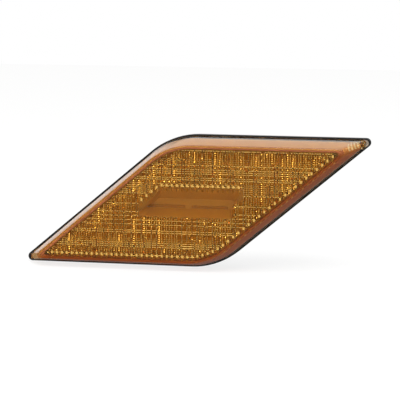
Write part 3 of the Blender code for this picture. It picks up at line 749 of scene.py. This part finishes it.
# Sealing bead: cream silicone laid in the housing's channel, which bonds the lens's foot and
# shows through the lens's walls. It fills the gap under the foot and stands up beside the rib.
BEAD_OUTER_INSET = 0.0008
BEAD_INNER_INSET = 0.0029
BEAD_RISE = 0.0009
BEAD_ROUND = 0.00025
BEAD_CROWN = 0.8
BEAD_FLANK = 0.3
BEAD_GAP = 0.00004
FOOT_GAP = 0.00005
CHANNEL_DEPTH = 0.0003
CHANNEL_GAP = 0.00002
BEAD_SHARP = math.radians(50.0)
bead_top = base_y + BEAD_GAP
bead_bottom = base_y + CHANNEL_DEPTH - CHANNEL_GAP
bead_profile = [
    (BEAD_OUTER_INSET, bead_bottom),
    (BEAD_OUTER_INSET, bead_top),
    (BASE_INSET + LENS_WALL + FOOT_GAP, bead_top),
    (BEAD_INNER_INSET - BEAD_ROUND, base_y - BEAD_RISE * BEAD_CROWN),
    (BEAD_INNER_INSET, base_y - BEAD_RISE * BEAD_FLANK),
    (BEAD_INNER_INSET, bead_bottom),
]
bead = solid("sealing_bead", grid_mesh("sealing_bead", swept(bead_profile), close_rows=True))
bead.data.shade_smooth()
bead.data.set_sharp_from_angle(angle=BEAD_SHARP)
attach(bead, "root")
silicone = Finish("cream silicone")
laid = silicone.noise(0.004, 3.0)
silicone.vary(
    Base_Color=silicone.blend(laid, (0.74, 0.60, 0.46), (0.82, 0.70, 0.56)),
    Roughness=0.28 + 0.2 * laid,
)
silicone.bump(laid, 0.00020)
silicone.give(bead)

# Vent cap: a grey moulded cap, ribbed round its edge, over a breathing membrane on the rear wall. It
# lets the lamp breathe as it warms and cools, and keeps water out.
CAP_RIBS = 24.0
cap = Finish("vent cap plastic")
x, y, z = cap.place()
low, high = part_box("vent_cap")
from_x = x - (low.x + high.x) / 2.0
from_z = z - (low.z + high.z) / 2.0
stripes = (from_z.maths("ARCTAN2", from_z, from_x) * CAP_RIBS).wave() * 0.5 + 0.5
dust = cap.noise(0.003, 3.0)
cap.vary(
    Base_Color=cap.blend(dust, (0.20, 0.20, 0.21), (0.30, 0.30, 0.31)),
    Roughness=0.45 + 0.2 * dust,
)
cap.bump(0.8 * stripes + 0.2 * dust, 0.00008)
cap.give(nodes["vent_cap"])

# Stage: a plain pale floor under the lamp, a white room and one soft lamp, as in a product studio.
# The paper lights itself to camera rays, but for a share that keeps the lamp's shadow. Rays through
# glass see a room that is darker near level, and mirror rays see white only above, behind and left.
FLOOR_REACH = 1.5
FLOOR_GAP = 0.0003
PAPER_SHARE = 0.80
PAPER_MIRRORED = 0.10
ROOM_WHITE = 1.0
ROOM_LIGHT = 0.95
ROOM_LEVEL = 0.34
ROOM_OVERHEAD = 0.80
ROOM_DARK = 0.08
WHITE_ABOVE = (0.24, 0.36)
WHITE_LEFT = (-0.42, -0.32)
WHITE_BEHIND = (0.0, 0.3)
OVERHEAD = (0.0, 0.9)
KEY_PLACE = (0.35, -1.05, 1.65)
KEY_SIZE = 1.3
KEY_POWER = 38.0
floor_z = rim_low.z - FLOOR_GAP
corners = [(-FLOOR_REACH, -FLOOR_REACH), (FLOOR_REACH, -FLOOR_REACH), (FLOOR_REACH, FLOOR_REACH),
           (-FLOOR_REACH, FLOOR_REACH)]
floor_data = bpy.data.meshes.new("floor")
floor_data.from_pydata([(x, y, floor_z) for x, y in corners], [], [(0, 1, 2, 3)])
floor = bpy.data.objects.new("floor", floor_data)
scene.collection.objects.link(floor)
paper = Finish("white paper", Base_Color=(0.80, 0.80, 0.79), Roughness=0.9)
surface = Socket(paper, paper.shader.outputs[0])
direct = paper.node("ShaderNodeLightPath", out="Is Camera Ray") * PAPER_SHARE
through = paper.node("ShaderNodeLightPath", out="Is Transmission Ray")
mirrored = paper.node("ShaderNodeLightPath", out="Is Glossy Ray")
for share, strength in ((mirrored, PAPER_MIRRORED), (through, ROOM_WHITE), (direct, ROOM_WHITE)):
    glow = paper.node("ShaderNodeEmission", {}, {"Strength": strength})
    surface = paper.node("ShaderNodeMixShader", {}, {0: share, 1: surface, 2: glow})
paper.feed(paper.output.inputs["Surface"], surface)
paper.give(floor)

world = bpy.data.worlds.new("studio")
world.use_nodes = True
scene.world = world
room = Nodes(world.node_tree)
x, y, z = room.place("Generated")


def ramp(value, low, high, first, last):
    """A number that goes from first to last while the value goes from low to high."""
    sockets = {"Value": value, "From Min": low, "From Max": high, "To Min": first, "To Max": last}
    return room.node("ShaderNodeMapRange", {}, sockets)


def white(strength):
    """A white background of the strength."""
    return room.node("ShaderNodeBackground", {}, {"Color": (1.0, 1.0, 1.0), "Strength": strength})


above_or_left = ramp(z, *WHITE_ABOVE, 0.0, 1.0).most(ramp(x, *WHITE_LEFT, 1.0, 0.0))
screen = above_or_left * ramp(y, *WHITE_BEHIND, 0.0, 1.0)
seen = white(ROOM_LIGHT)
for ray, strength in (
    ("Is Glossy Ray", ramp(screen, 0.0, 1.0, ROOM_DARK, ROOM_WHITE)),
    ("Is Transmission Ray", ramp(z, *OVERHEAD, ROOM_LEVEL, ROOM_OVERHEAD)),
    ("Is Camera Ray", ROOM_WHITE),
):
    share = room.node("ShaderNodeLightPath", out=ray)
    seen = room.node("ShaderNodeMixShader", {}, {0: share, 1: seen, 2: white(strength)})
room.feed(room.tree.nodes["World Output"].inputs["Surface"], seen)
room.tree.nodes.remove(room.tree.nodes["Background"])

key_data = bpy.data.lights.new("front key", "AREA")
key_data.shape = "RECTANGLE"
key_data.size = KEY_SIZE
key_data.size_y = KEY_SIZE
key_data.energy = KEY_POWER
key = bpy.data.objects.new("front key", key_data)
scene.collection.objects.link(key)
key.location = KEY_PLACE
key.rotation_euler = (-key.location).to_track_quat("-Z", "Y").to_euler()

# Camera: a long lens a little right of and above the lamp's face, as in the photograph. It aims
# at the middle of the rim, and its shift sets the lamp in the frame as the photograph does.
CAMERA_DISTANCE = 1.118
CAMERA_AZIMUTH = math.radians(13.73)
CAMERA_ELEVATION = math.radians(7.56)
CAMERA_LENS = 189.5
CAMERA_SENSOR = 36.0
CAMERA_REACH = 20.0
CAMERA_SHIFT = (0.009625, 0.0009)
CAMERA_AIM = (0.0, -0.0043, 0.0)
back = Vector((
    math.sin(CAMERA_AZIMUTH) * math.cos(CAMERA_ELEVATION),
    -math.cos(CAMERA_AZIMUTH) * math.cos(CAMERA_ELEVATION),
    math.sin(CAMERA_ELEVATION),
))
camera_data = bpy.data.cameras.new("camera")
camera_data.lens = CAMERA_LENS
camera_data.sensor_width = CAMERA_SENSOR
camera_data.shift_x, camera_data.shift_y = CAMERA_SHIFT
camera_data.clip_end = CAMERA_REACH
camera = bpy.data.objects.new("camera", camera_data)
scene.collection.objects.link(camera)
camera.location = Vector(CAMERA_AIM) + back * CAMERA_DISTANCE
camera.rotation_euler = back.to_track_quat("Z", "Y").to_euler()
scene.camera = camera
scene.view_settings.view_transform = "Standard"
